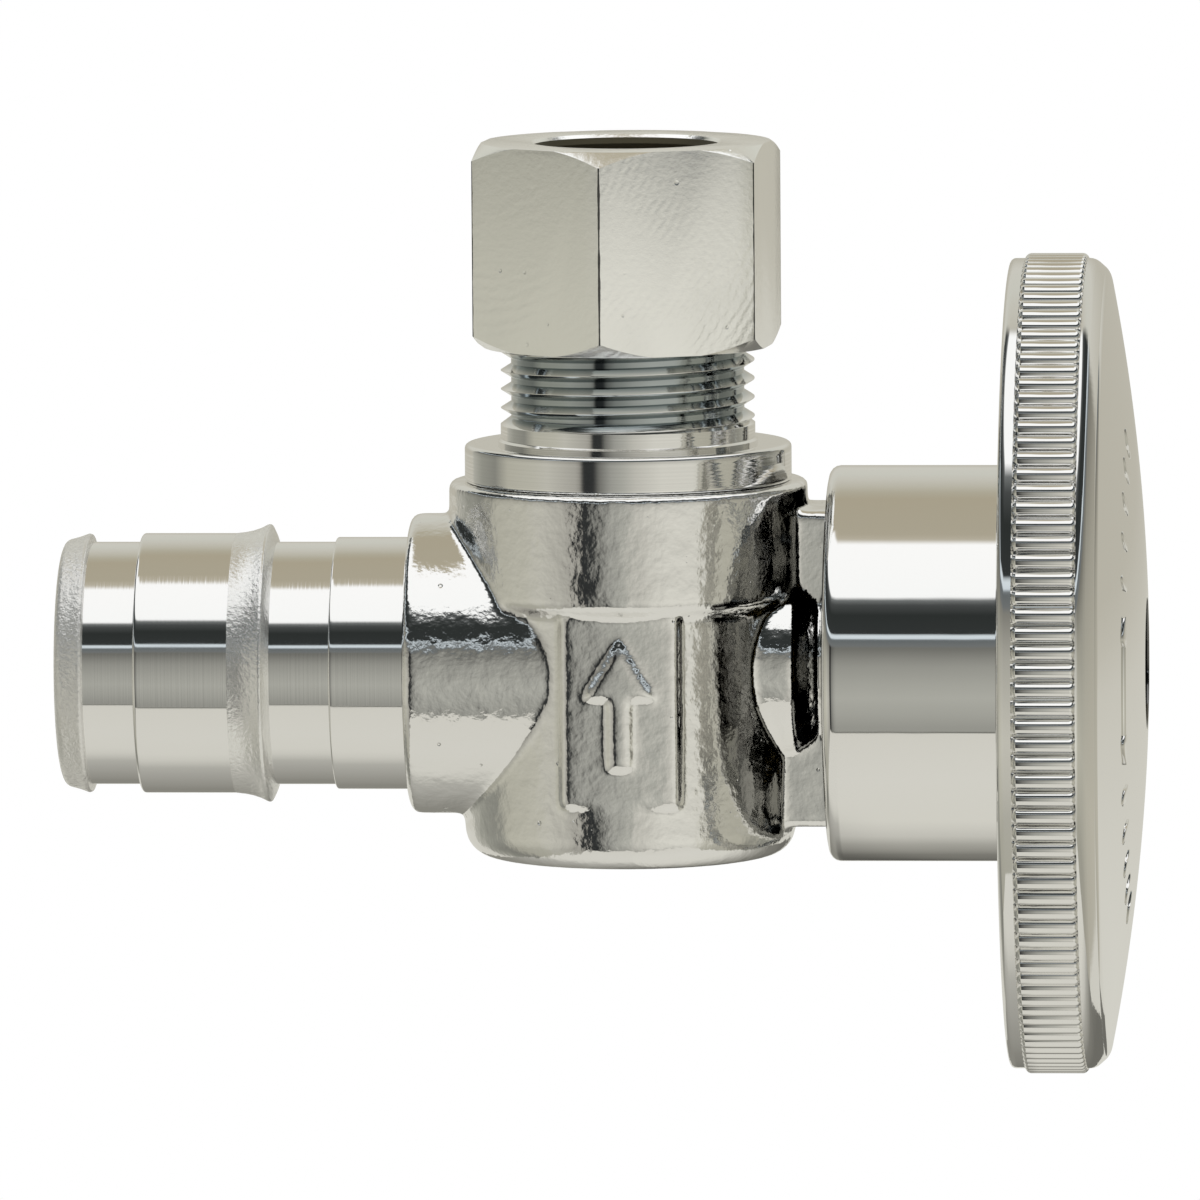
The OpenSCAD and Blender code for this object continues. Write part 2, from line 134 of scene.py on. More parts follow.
def round_ring(bm, corner, width, direction, middle):
    """Round the ring of edges that one corner of the outline left."""
    def on_corner(v):
        rel = v.co - middle
        along = rel.dot(direction)
        radius = (rel - along * direction).length
        return (abs(along / MM - corner[1]) < 1e-3
                and abs(radius / MM - corner[0]) < 1e-3)
    ring = [e for e in bm.edges if on_corner(e.verts[0]) and on_corner(e.verts[1])]
    round_edges(bm, ring, width, steps=4)


def to_object(bm, name, smooth_angle=35):
    """Make a mesh object at the origin, smooth except where it turns sharply."""
    mesh = bpy.data.meshes.new(name)
    bm.to_mesh(mesh)
    bm.free()
    mesh.shade_smooth()
    mesh.set_sharp_from_angle(angle=math.radians(smooth_angle))
    obj = bpy.data.objects.new(name, mesh)
    bpy.context.scene.collection.objects.link(obj)
    return obj


def apply_modifiers(obj):
    """Bake the modifiers into the mesh, so the next step can build on them."""
    graph = bpy.context.evaluated_depsgraph_get()
    mesh = bpy.data.meshes.new_from_object(obj.evaluated_get(graph))
    old = obj.data
    obj.modifiers.clear()
    obj.data = mesh
    bpy.data.meshes.remove(old)


def cut(obj, tool, operation="DIFFERENCE"):
    """Take a tool shape away from an object, or keep only what both share."""
    step = obj.modifiers.new("cut", "BOOLEAN")
    step.operation = operation
    step.solver = "EXACT"
    step.object = tool
    apply_modifiers(obj)
    bpy.data.objects.remove(tool)


def belongs(obj, body, slot, material, *nodes):
    """Give a piece its material, its moving body and the nodes it stands for; the slot is not used."""
    obj.data.materials.clear()
    obj.data.materials.append(material)
    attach(obj, body)
    if nodes:
        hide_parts(*nodes)
    print(obj.name, "faces", len(obj.data.polygons))
    return obj


# %% [markdown]
# The surfaces come next. Chrome plate is one metal on every piece, but what is
# under it differs: the forging keeps a fine orange peel, turned faces keep
# fine rings, and the moulded wheel is almost a mirror. Each of those is a
# group of nodes with a height out, so that one plate can sit on all of them.

# %% Node helpers


def new_group(name, inputs, outputs):
    """A shader effect with named inputs and outputs, built once for many materials."""
    tree = bpy.data.node_groups.new(name, "ShaderNodeTree")
    for label, value in inputs.items():
        socket = tree.interface.new_socket(label, in_out="INPUT", socket_type="NodeSocketFloat")
        socket.default_value = value
    for label in outputs:
        tree.interface.new_socket(label, in_out="OUTPUT", socket_type="NodeSocketFloat")
    print("effect", name, "with", ", ".join(inputs))
    return tree, tree.nodes.new("NodeGroupInput"), tree.nodes.new("NodeGroupOutput")


def effect(tree, group, values):
    """Place an effect in a material, with the values of that material."""
    made = node(tree, "ShaderNodeGroup")
    made.node_tree = group
    for label, value in values.items():
        made.inputs[label].default_value = value
    return made.outputs


def node(tree, kind, **settings):
    made = tree.nodes.new(kind)
    for key, value in settings.items():
        setattr(made, key, value)
    return made


def place_on(tree):
    """Where a point lies on its piece, in metres in the frame."""
    return node(tree, "ShaderNodeTexCoord").outputs["Object"]


def place_parts(tree):
    parts = node(tree, "ShaderNodeSeparateXYZ")
    tree.links.new(place_on(tree), parts.inputs[0])
    return parts.outputs["X"], parts.outputs["Y"], parts.outputs["Z"]


def sums(tree, operation, a, b=0):
    """One step of arithmetic between two sockets or numbers."""
    made = node(tree, "ShaderNodeMath", operation=operation)
    for socket, value in zip(made.inputs, (a, b)):
        if isinstance(value, (int, float)):
            socket.default_value = value
        else:
            tree.links.new(value, socket)
    return made.outputs[0]


def weighted(tree, *pairs):
    """Add values up, each times its own weight."""
    total = None
    for value, weight in pairs:
        part = sums(tree, "MULTIPLY", value, weight)
        total = part if total is None else sums(tree, "ADD", total, part)
    return total


def distance_from(tree, a, b):
    """How far a point lies from an axis, from its two offsets."""
    return sums(tree, "SQRT", weighted(tree, (a, a), (b, b)))


def noise(tree, vector, scale, detail, roughness=0.5):
    made = node(tree, "ShaderNodeTexNoise")
    made.inputs["Scale"].default_value = scale
    made.inputs["Detail"].default_value = detail
    made.inputs["Roughness"].default_value = roughness
    tree.links.new(vector, made.inputs["Vector"])
    return made.outputs["Fac"]


def step_between(tree, value, low, high):
    made = node(tree, "ShaderNodeMapRange", interpolation_type="SMOOTHSTEP")
    made.inputs["From Min"].default_value = low
    made.inputs["From Max"].default_value = high
    tree.links.new(value, made.inputs["Value"])
    return made.outputs["Result"]


def mixed(tree, factor, a, b, blend="MIX"):
    made = node(tree, "ShaderNodeMix", data_type="RGBA", blend_type=blend)
    tree.links.new(factor, made.inputs["Factor"])
    for label, value in (("A", a), ("B", b)):
        if isinstance(value, tuple):
            made.inputs[label].default_value = (*value, 1)
        else:
            tree.links.new(value, made.inputs[label])
    return made.outputs["Result"]


def pits(tree, vector, scale, size):
    """Sparse round pin holes: one for each cell, and most of them too small to show."""
    cells = node(tree, "ShaderNodeTexVoronoi")
    cells.inputs["Scale"].default_value = scale
    tree.links.new(vector, cells.inputs["Vector"])
    chance = node(tree, "ShaderNodeSeparateColor")
    tree.links.new(cells.outputs["Color"], chance.inputs[0])
    reach = sums(tree, "MULTIPLY", sums(tree, "POWER", chance.outputs[0], 2.0), size)
    hole = node(tree, "ShaderNodeMapRange", interpolation_type="SMOOTHSTEP")
    tree.links.new(cells.outputs["Distance"], hole.inputs["Value"])
    tree.links.new(sums(tree, "MULTIPLY", reach, 0.4), hole.inputs["From Min"])
    tree.links.new(reach, hole.inputs["From Max"])
    return hole.outputs["Result"]


# %% [markdown]
# The skin of a forging. The die leaves slow swells, the blast before plating
# leaves an orange peel and fine grit, and the bath leaves a few pin holes.
# Four heights are added up, because each material needs its own mix of them.

# %% Forged skin group
forge, forge_in, forge_out = new_group(
    "forged_skin", {"Swell": 0.6, "Peel": 0.3, "Grit": 0.1, "Pits": 0.3}, ["Height"])
place = place_on(forge)
height = weighted(forge,
                  (noise(forge, place, 380, 1.0), forge_in.outputs["Swell"]),
                  (noise(forge, place, 1100, 2.5), forge_in.outputs["Peel"]),
                  (noise(forge, place, 4200, 3.0, 0.6), forge_in.outputs["Grit"]),
                  (pits(forge, place, 900, 0.16), forge_in.outputs["Pits"]))
forge.links.new(height, forge_out.inputs["Height"])

# %% [markdown]
# A turned face keeps the fine rings of the tool. They change only along the
# axis of the lathe, so a noise in one dimension makes them.

# %% Turned rings group
rings, rings_in, rings_out = new_group(
    "turned_rings", {"Spacing": 9000.0, "Along X": 1.0, "Along Z": 0.0}, ["Height"])
x, y, z = place_parts(rings)
along = weighted(rings, (x, rings_in.outputs["Along X"]), (z, rings_in.outputs["Along Z"]))
line = node(rings, "ShaderNodeTexNoise", noise_dimensions="1D")
line.inputs["Scale"].default_value = 1.0
line.inputs["Detail"].default_value = 3.0
rings.links.new(sums(rings, "MULTIPLY", along, rings_in.outputs["Spacing"]), line.inputs["W"])
rings.links.new(line.outputs["Fac"], rings_out.inputs["Height"])

# %% [markdown]
# Bright plate is never clean all over. Large soft patches, where hands have
# been, are a little rougher than the rest.

# %% Handling marks group
marks, marks_in, marks_out = new_group(
    "handling_marks", {"Scale": 160.0, "Clean": 0.05, "Smudged": 0.14}, ["Roughness"])
patch = node(marks, "ShaderNodeTexNoise")
patch.inputs["Detail"].default_value = 4.0
marks.links.new(place_on(marks), patch.inputs["Vector"])
marks.links.new(marks_in.outputs["Scale"], patch.inputs["Scale"])
spread = node(marks, "ShaderNodeMapRange", interpolation_type="SMOOTHSTEP")
spread.inputs["From Min"].default_value = 0.42
spread.inputs["From Max"].default_value = 0.72
marks.links.new(patch.outputs["Fac"], spread.inputs["Value"])
marks.links.new(marks_in.outputs["Clean"], spread.inputs["To Min"])
marks.links.new(marks_in.outputs["Smudged"], spread.inputs["To Max"])
marks.links.new(spread.outputs["Result"], marks_out.inputs["Roughness"])

# %% [markdown]
# The flats of the nut are satin, not mirror bright. Fine sand covers them, and
# here and there the arcs of the milling cutter show through it.

# %% Milling marks group
milling, milling_in, milling_out = new_group(
    "milling_marks", {"Arcs": 0.5, "Grit": 0.6, "Pits": 0.8}, ["Height"])
place = place_on(milling)
cutter = node(milling, "ShaderNodeVectorMath", operation="SUBTRACT")
cutter.inputs[1].default_value = (-4.0 * MM, -14.0 * MM, 36.0 * MM)
milling.links.new(place, cutter.inputs[0])
arcs = node(milling, "ShaderNodeTexWave", wave_type="RINGS", rings_direction="SPHERICAL")
arcs.inputs["Scale"].default_value = 620
arcs.inputs["Distortion"].default_value = 4.0
arcs.inputs["Detail"].default_value = 3.0
arcs.inputs["Detail Scale"].default_value = 2.0
milling.links.new(cutter.outputs[0], arcs.inputs["Vector"])
where = step_between(milling, noise(milling, place, 160, 2.0), 0.42, 0.62)
relief = weighted(milling,
                  (sums(milling, "MULTIPLY", arcs.outputs["Fac"], where), milling_in.outputs["Arcs"]),
                  (noise(milling, place, 2600, 4.0, 0.65), milling_in.outputs["Grit"]),
                  (pits(milling, place, 700, 0.13), milling_in.outputs["Pits"]))
milling.links.new(relief, milling_out.inputs["Height"])

# %% [markdown]
# Painted shade darkens the deep hollows of the wheel. A mask finds them on the wheel from
# the distance to its axis and the place along it: inside the skirt, in the
# pocket behind the rim, and in the recess of the screw.

# %% Painted shade in the hollows of the wheel
# Painted shade: the share of the dark tone in the skirt and in the pocket; the recess gets it in full.
SKIRT_SHARE, POCKET_SHARE = 0.72, 0.08
inside, inside_in, inside_out = new_group(
    "painted_hollow_shade", {"Skirt End": 0.036, "Skirt Radius": 0.0108, "Pocket End": 0.037,
                   "Pocket Inner": 0.01245, "Pocket Outer": 0.02095, "Recess": 0.00372}, ["Mask"])
x, y, z = place_parts(inside)
out_from_axis = distance_from(inside, y, z)
in_skirt = sums(inside, "MULTIPLY",
                sums(inside, "LESS_THAN", out_from_axis, inside_in.outputs["Skirt Radius"]),
                sums(inside, "LESS_THAN", x, inside_in.outputs["Skirt End"]))
in_pocket = sums(inside, "MULTIPLY",
                 sums(inside, "LESS_THAN", out_from_axis, inside_in.outputs["Pocket Outer"]),
                 sums(inside, "GREATER_THAN", out_from_axis, inside_in.outputs["Pocket Inner"]))
in_pocket = sums(inside, "MULTIPLY", in_pocket,
                 sums(inside, "LESS_THAN", x, inside_in.outputs["Pocket End"]))
in_recess = sums(inside, "LESS_THAN", out_from_axis, inside_in.outputs["Recess"])
shaded_hollows = sums(inside, "MAXIMUM", sums(inside, "MULTIPLY", in_skirt, SKIRT_SHARE), in_recess)
shaded_hollows = sums(inside, "MAXIMUM", shaded_hollows, sums(inside, "MULTIPLY", in_pocket, POCKET_SHARE))
inside.links.new(shaded_hollows, inside_out.inputs["Mask"])

# %% [markdown]
# The hole of the nut gets a painted shade and a rougher finish, and its six corners get a thin painted
# dark line for the dark reflection on them.
# One mask is the distance to the axis. The other folds the angle round the
# axis into one sixth, so that a single line becomes six.

# %% Painted shade of the bore and the corners
bore_tone, bore_in, bore_out = new_group(
    "bore_tone", {"Centre X": 0.0123, "Radius": 0.00522, "Turned": 24.0, "Edge Width": 0.00006,
                  "Low": 0.0188, "High": 0.0287}, ["Bore", "Edge"])
x, y, z = place_parts(bore_tone)
off = sums(bore_tone, "SUBTRACT", x, bore_in.outputs["Centre X"])
reach = distance_from(bore_tone, off, y)
in_bore = sums(bore_tone, "LESS_THAN", reach, bore_in.outputs["Radius"])
bore_tone.links.new(in_bore, bore_out.inputs["Bore"])
sixth = sums(bore_tone, "SUBTRACT", sums(bore_tone, "ARCTAN2", y, off),
             sums(bore_tone, "RADIANS", bore_in.outputs["Turned"]))
sixth = sums(bore_tone, "PINGPONG", sixth, math.pi / 6)
aside = sums(bore_tone, "MULTIPLY", reach, sixth)
wander = sums(bore_tone, "MULTIPLY", noise(bore_tone, place_on(bore_tone), 900, 3.0), 2.0)
line_width = sums(bore_tone, "MULTIPLY", wander, bore_in.outputs["Edge Width"])
on_edge = sums(bore_tone, "LESS_THAN", aside, line_width)
on_edge = sums(bore_tone, "MULTIPLY", on_edge, sums(
    bore_tone, "MULTIPLY", sums(bore_tone, "GREATER_THAN", z, bore_in.outputs["Low"]),
    sums(bore_tone, "LESS_THAN", z, bore_in.outputs["High"])))
bore_tone.links.new(on_edge, bore_out.inputs["Edge"])

# %% [markdown]
# The roots of the thread get a painted shade, a bluish grey that stands in for
# the dark reflections between the flanks; it fades from crest to root by the distance to the axis.

# %% Thread tone group
INSIDE_CORE, COLLAR_END = 0.0063, 0.01345
roots, roots_in, roots_out = new_group(
    "painted_thread_root_shade", {"Centre X": 0.0123, "Root": 0.00660, "Crest": 0.00712}, ["Mask"])
x, y, z = place_parts(roots)
reach = distance_from(roots, sums(roots, "SUBTRACT", x, roots_in.outputs["Centre X"]), y)
deep = node(roots, "ShaderNodeMapRange", interpolation_type="SMOOTHSTEP")
roots.links.new(reach, deep.inputs["Value"])
roots.links.new(roots_in.outputs["Root"], deep.inputs["From Max"])
roots.links.new(roots_in.outputs["Crest"], deep.inputs["From Min"])
outer = sums(roots, "MULTIPLY", deep.outputs["Result"], sums(roots, "GREATER_THAN", reach, INSIDE_CORE))
above_collar = sums(roots, "GREATER_THAN", z, COLLAR_END)
roots.links.new(sums(roots, "MULTIPLY", outer, above_collar), roots_out.inputs["Mask"])

# %% [markdown]
# The rim of the wheel has a soft bead on each side of the grips, and its plate
# swells a little. Both are too shallow for geometry, so they are a height.

# %% Rim beads group
ONLY_ON_RIM, HEIGHT_PER_METRE = 0.0222, 100000.0
beads, beads_in, beads_out = new_group(
    "rim_beads", {"Back": 0.0336, "Front": 0.0393, "Bead": 0.0011, "Slope": 0.466, "Swell": 0.4},
    ["Height"])
x, y, z = place_parts(beads)
from_back = sums(beads, "MINIMUM", sums(beads, "SUBTRACT", x, beads_in.outputs["Back"]),
                 beads_in.outputs["Bead"])
from_front = sums(beads, "MINIMUM", sums(beads, "SUBTRACT", beads_in.outputs["Front"], x),
                  beads_in.outputs["Bead"])
rise_up = sums(beads, "MULTIPLY", sums(beads, "ADD", from_back, from_front), beads_in.outputs["Slope"])
on_rim = sums(beads, "GREATER_THAN", distance_from(beads, z, y), ONLY_ON_RIM)
rise_up = sums(beads, "MULTIPLY", rise_up, on_rim)
beads.links.new(weighted(beads, (rise_up, HEIGHT_PER_METRE),
                         (noise(beads, place_on(beads), 380, 1.0), beads_in.outputs["Swell"])),
                beads_out.inputs["Height"])

# %% [markdown]
# One function makes every metal, because they differ only in colour, in how
# smudged they are, in the height under them, and in where painted shade darkens them.

# %% Plate materials
CHROME = (0.90, 0.895, 0.88)
# Painted shade: darker tones that stand in for shade and dark reflections in the nut's bore, on its
# corners, at the thread roots and in the wheel's hollows.
BORE_SHADE_TONE, DARK_CORNER_REFLECTION, THREAD_ROOT_SHADE, HOLLOW_SHADE_TONE = (
    (0.10, 0.09, 0.06), (0.10, 0.10, 0.10), (0.46, 0.50, 0.51), (0.16, 0.16, 0.155))


def new_material(name):
    material = bpy.data.materials.new(name)
    material.use_nodes = True
    print("material", name)
    return material, material.node_tree, material.node_tree.nodes["Principled BSDF"].inputs


def bump_from(tree, height, depth, surface):
    bump = node(tree, "ShaderNodeBump")
    bump.inputs["Distance"].default_value = depth * MM
    tree.links.new(height, bump.inputs["Height"])
    tree.links.new(bump.outputs["Normal"], surface["Normal"])


def plate(name, colour, clean, smudged, relief, values, depth, bore=False, threaded=False, hollow=False):
    """Bright metal over a relief. The three last words add painted shade: in the bore and on the corners
    of the nut, at the roots of a thread, and in the hollows of the wheel.
    """
    material, tree, surface = new_material(name)
    surface["Base Color"].default_value = (*colour, 1)
    surface["Metallic"].default_value = 1.0
    roughness = effect(tree, marks, {"Clean": clean, "Smudged": smudged})["Roughness"]
    tree.links.new(roughness, surface["Roughness"])
    bump_from(tree, effect(tree, relief, values)["Height"], depth, surface)
    tone = None
    # Painted shade in the bore and painted dark reflection lines on the corners of the nut; the bore is
    # also rougher.
    if bore:
        raw = effect(tree, bore_tone, {"Centre X": barrel_x * MM, "Low": (nut_low.z + 0.78) * MM,
                                       "High": (nut_high.z - 0.8) * MM})
        tone = mixed(tree, raw["Edge"], mixed(tree, raw["Bore"], colour, BORE_SHADE_TONE), DARK_CORNER_REFLECTION)
        rougher = node(tree, "ShaderNodeMix")
        rougher.inputs["B"].default_value = 0.6
        tree.links.new(raw["Bore"], rougher.inputs["Factor"])
        tree.links.new(roughness, rougher.inputs["A"])
        tree.links.new(rougher.outputs["Result"], surface["Roughness"])
    # Painted shade at the roots of the thread.
    if threaded:
        root_shade = effect(tree, roots, {"Centre X": barrel_x * MM})
        tone = mixed(tree, root_shade["Mask"], colour, THREAD_ROOT_SHADE)
    # Painted shade in the hollows of the wheel.
    if hollow:
        shade_of_hollows = effect(tree, inside, {"Skirt End": 36.0 * MM, "Pocket End": (wheel_low.x + 13.7) * MM})
        tone = mixed(tree, shade_of_hollows["Mask"], colour, HOLLOW_SHADE_TONE)
    if tone is not None:
        tree.links.new(tone, surface["Base Color"])
    return material


forged_plate = plate("forged_plate", CHROME, 0.025, 0.06, forge,
                     {"Swell": 0.45, "Peel": 0.80, "Grit": 0.14, "Pits": 1.0}, 0.06)
spigot_plate = plate("spigot_plate", CHROME, 0.05, 0.09, rings, {"Spacing": 6000.0}, 0.004)
turned_plate = plate("turned_plate", CHROME, 0.05, 0.09, rings,
                     {"Spacing": 6000.0, "Along X": 0.0, "Along Z": 1.0}, 0.004, threaded=True)
wheel_plate = plate("wheel_plate", CHROME, 0.03, 0.06, beads,
                    {"Back": (wheel_low.x + 10.25) * MM, "Front": (wheel_low.x + 15.7) * MM}, 0.01,
                    hollow=True)
barb_plate = plate("barb_plate", (0.97, 0.965, 0.95), 0.20, 0.30, forge,
                   {"Swell": 0.1, "Peel": 0.35, "Grit": 0.8, "Pits": 2.0}, 0.06)
rough_plate = plate("rough_plate", (0.98, 0.97, 0.95), 0.20, 0.32, forge,
                    {"Swell": 0.1, "Peel": 0.45, "Grit": 0.9, "Pits": 4.0}, 0.09)
for dull_plate, shine in ((barb_plate, 0.75), (rough_plate, 0.55)):
    dull_plate.node_tree.nodes["Principled BSDF"].inputs["Metallic"].default_value = shine
nut_plate = plate("nut_plate", (0.985, 0.985, 0.97), 0.17, 0.25, milling,
                  {"Arcs": 0.6, "Grit": 1.3, "Pits": 1.6}, 0.012, bore=True)
brass_metal = plate("machined_brass", (0.80, 0.62, 0.30), 0.18, 0.30, rings, {"Spacing": 8000.0}, 0.004)
steel_metal = plate("bright_steel", (0.72, 0.72, 0.73), 0.15, 0.28, rings, {"Spacing": 8000.0}, 0.004)

# %% [markdown]
# The seals are not metal: white low-friction plastic and black rubber, both
# dull, with a little mottling so that they do not read as one flat colour.

# %% Seal materials


def dull(name, dark, light, roughness, scale):
    """A soft matt material whose tone and surface both follow one mottle."""
    material, tree, surface = new_material(name)
    surface["Roughness"].default_value = roughness
    mottle = noise(tree, place_on(tree), scale, 4.0)
    tree.links.new(mixed(tree, mottle, dark, light), surface["Base Color"])
    bump_from(tree, mottle, 0.01, surface)
    return material


seat_material = dull("seat_plastic", (0.82, 0.82, 0.79), (0.90, 0.90, 0.87), 0.45, 900)
rubber_material = dull("black_rubber", (0.012, 0.012, 0.012), (0.03, 0.03, 0.03), 0.6, 1500)
for material, cad_names in (
        (rubber_material, ("adapter_o_ring", "seat_backing_ring", "stem_o_ring_inner",
                           "stem_o_ring_outer")),
        (seat_material, ("upper_seat", "lower_seat", "thrust_washer")),
        (steel_metal, ("gland_washer", "lock_washer")),
        (brass_metal, ("gland_nut", "ball", "stem", "handle_insert", "compression_sleeve"))):
    for cad_name in cad_names:
        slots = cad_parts[cad_name].data.materials
        slots.clear()
        slots.append(material)

# %% [markdown]
# The forging. A hot forging has no sharp corners where its volumes meet. The
# volumes are made as plain closed shapes that run into each other, a voxel
# remesh welds them into one skin, and a few rounds of smoothing melt the
# joins into the soft fillets of a forging. The bores are cut last, so that
# they stay crisp.

# %% Forging volumes
lower_r, upper_r = 9.33, body_high.y
boss_r, neck_r = 8.46, 5.85
barrel_bottom, barrel_top = body_low.z + 0.12, body_high.z
ledge_z = 3.75
bar_half_height, bar_half_width = 8.95, 3.4
panel_y, pad_r = -lower_r - 0.03, 38.0


def volume_block(low, high, edge=0.3):
    """A box between two corners, with all its edges rounded."""
    bm = bmesh.new()
    size = Vector(high) - Vector(low)
    centre = (Vector(high) + Vector(low)) / 2
    bmesh.ops.create_cube(bm, size=1, matrix=Matrix.Translation(centre * MM)
                          @ Matrix.Diagonal((*(size * MM), 1)))
    round_edges(bm, list(bm.edges), edge)
    return bm


def prism(corners, grow):
    """A flat outline, extruded along a vector."""
    bm = bmesh.new()
    face = bm.faces.new([bm.verts.new(Vector(corner) * MM) for corner in corners])
    grown = bmesh.ops.extrude_face_region(bm, geom=[face])["geom"]
    bmesh.ops.translate(bm, verts=[g for g in grown if isinstance(g, bmesh.types.BMVert)],
                        vec=Vector(grow) * MM)
    return bm


def volume_panel(half_width, low, high):
    """A raised pad, a little flatter than the barrel, so it fades in its middle."""
    across = [half_width * (i / 6 - 1) for i in range(13)]
    outline = [(x, panel_y + pad_r - math.sqrt(pad_r ** 2 - x ** 2)) for x in across]
    outline += [(half_width, 0), (-half_width, 0)]
    bm = prism([(barrel_x + x, y, low) for x, y in outline], (0, 0, high - low))

    def at_front_corner(v):
        return v.co.y < -8 * MM and abs(abs(v.co.x / MM - barrel_x) - half_width) < 1e-3
    corners = [e for e in bm.edges if abs(e.verts[0].co.x - e.verts[1].co.x) < 1e-7
               and at_front_corner(e.verts[0]) and at_front_corner(e.verts[1])]
    round_edges(bm, corners, 0.22, steps=2)
    bmesh.ops.recalc_face_normals(bm, faces=bm.faces)
    return bm


def volume_arrow(y, depth):
    """A plain raised arrow that shows which way the water flows."""
    shaft, head, foot, shoulder, tip = 0.6, 1.9, -5.0, -1.0, 2.2
    outline = [(-shaft, foot), (shaft, foot), (shaft, shoulder), (head, shoulder), (0, tip),
               (-head, shoulder), (-shaft, shoulder)]
    bm = prism([(barrel_x + x, y, z) for x, z in outline], (0, -depth, 0))
    bmesh.ops.recalc_face_normals(bm, faces=bm.faces)
    return bm


def join(meshes):
    """Put several meshes into one; where they overlap, nothing is welded."""
    whole = bmesh.new()
    for part in meshes:
        loose = bpy.data.meshes.new("loose")
        part.to_mesh(loose)
        part.free()
        whole.from_mesh(loose)
        bpy.data.meshes.remove(loose)
    return whole


barrel = lathe([(0, barrel_bottom), (lower_r, barrel_bottom), (lower_r, ledge_z - 0.35),
                (upper_r, ledge_z + 0.35), (upper_r, barrel_top), (0, barrel_top)],
               "z", (barrel_x, 0, 0), {1: 1.55, 4: 0.05}, 160)
boss = lathe([(0, 0), (boss_r, 0), (boss_r, barrel_x), (0, barrel_x)], "x", rounds={1: 0.45})
neck = lathe([(0, barrel_x), (neck_r, barrel_x), (neck_r, 21.8), (neck_r - 1.1, 23.25), (neck_r, 24.0),
              (neck_r, body_high.x), (0, body_high.x)], "x")
stop_bar = volume_block((barrel_x, -bar_half_width, -bar_half_height),
                        (wheel_low.x + 2.8, bar_half_width, bar_half_height))
body = to_object(join([barrel, boss, neck, stop_bar, volume_panel(3.325, -7.1, 3.5),
                       volume_arrow(panel_y + 0.2, 0.52)]), "body_forging")
weld = body.modifiers.new("weld", "REMESH")
weld.mode = "VOXEL"
weld.voxel_size = 0.18 * MM
apply_modifiers(body)
print("welded faces", len(body.data.polygons))

# %% [markdown]
# The weld leaves a crease where two volumes meet. Moving every point halfway
# to its neighbours, seven times over, turns the creases into small fillets.

# %% Melt the joins
melt = bmesh.new()
melt.from_mesh(body.data)
for turn in range(7):
    bmesh.ops.smooth_vert(melt, verts=melt.verts, factor=0.5,
                          use_axis_x=True, use_axis_y=True, use_axis_z=True)
melt.to_mesh(body.data)
melt.free()

# %% [markdown]
# The forging is then drilled: a waterway from the spigot to the ball, a wide
# cavity from above for the ball and the adapter, and a hole for the stem. Each
# bore is a turned tool that an exact boolean takes away.

# %% Bores of the forging
waterway_r, throat_r, cavity_r, plug_r = 5.1, 3.4, 7.0, 7.95
cavity_bottom, seat_top = -8.2, box_mm("upper_seat")[1].z
stem_r, gland_r, gland_floor = 3.06, 4.0, 20.15
cut(body, to_object(lathe([
    (0, -1), (waterway_r, -1), (waterway_r, 1.5), (throat_r, 3.2), (throat_r, barrel_x), (0, barrel_x)],
    "x"), "tool"))
cut(body, to_object(lathe([
    (0, cavity_bottom), (cavity_r, cavity_bottom), (cavity_r, seat_top), (plug_r, seat_top),
    (plug_r, barrel_top + 1), (0, barrel_top + 1)], "z", (barrel_x, 0, 0)), "tool"))
cut(body, to_object(lathe([
    (0, barrel_x), (stem_r, barrel_x), (stem_r, gland_floor), (gland_r, gland_floor),
    (gland_r, body_high.x + 1), (0, body_high.x + 1)], "x"), "tool"))
body.data.shade_smooth()
body.data.set_sharp_from_angle(angle=math.radians(50))
belongs(body, "body", "forged_chrome", forged_plate, "valve_body")

# %% [markdown]
# The spigot is turned, not forged: sharp lands, grooves and one flared barb
# that bites into the expanded plastic pipe.

# %% Spigot
tip = body_low.x
core_r, groove_r, land_r, shoulder_r = 6.6, 6.84, 7.33, 7.11
spigot = to_object(lathe([
    (waterway_r, tip + 0.3), (core_r, tip + 0.3), (groove_r, -18.3), (groove_r, -15.2), (land_r, -15.2),
    (land_r, -9.6), (groove_r, -7.6), (groove_r, -4.2), (shoulder_r, -4.2), (shoulder_r, 0.3),
    (waterway_r, 0.3)], "x", rounds={4: 0.18, 8: 0.12}, segments=160), "body_spigot")
belongs(spigot, "body", "forged_chrome", spigot_plate, "valve_body")
flange = to_object(lathe([
    (waterway_r, tip + 0.15), (waterway_r + 0.15, tip), (6.55, tip), (6.95, tip + 0.25),
    (7.12, tip + 0.9), (7.32, tip + 1.45), (7.26, tip + 1.6), (6.80, tip + 1.66),
    (waterway_r, tip + 1.66)],
    "x", rounds={2: 0.3, 3: 0.2, 5: 0.05, 6: 0.03}, segments=160), "spigot_end_flange")
belongs(flange, "body", "forged_chrome", rough_plate, "valve_body")
barb = to_object(lathe([
    (core_r, -9.95), (7.335, -9.9), (7.39, -9.4), (7.48, -8.95), (7.63, -8.5), (7.84, -8.08),
    (7.83, -7.94), (7.36, -7.72), (6.85, -7.56), (core_r, -7.56)],
    "x", rounds={5: 0.06, 6: 0.06}, segments=160), "spigot_barb")
belongs(barb, "body", "forged_chrome", barb_plate, "valve_body")

# %% [markdown]
# The adapter is the outlet: a flange ring that seats on the barrel, a plain
# collar and a thread. A real thread climbs, so it is a short V outline spun
# round the axis with a lift at each step. Its two ends sink into the core.

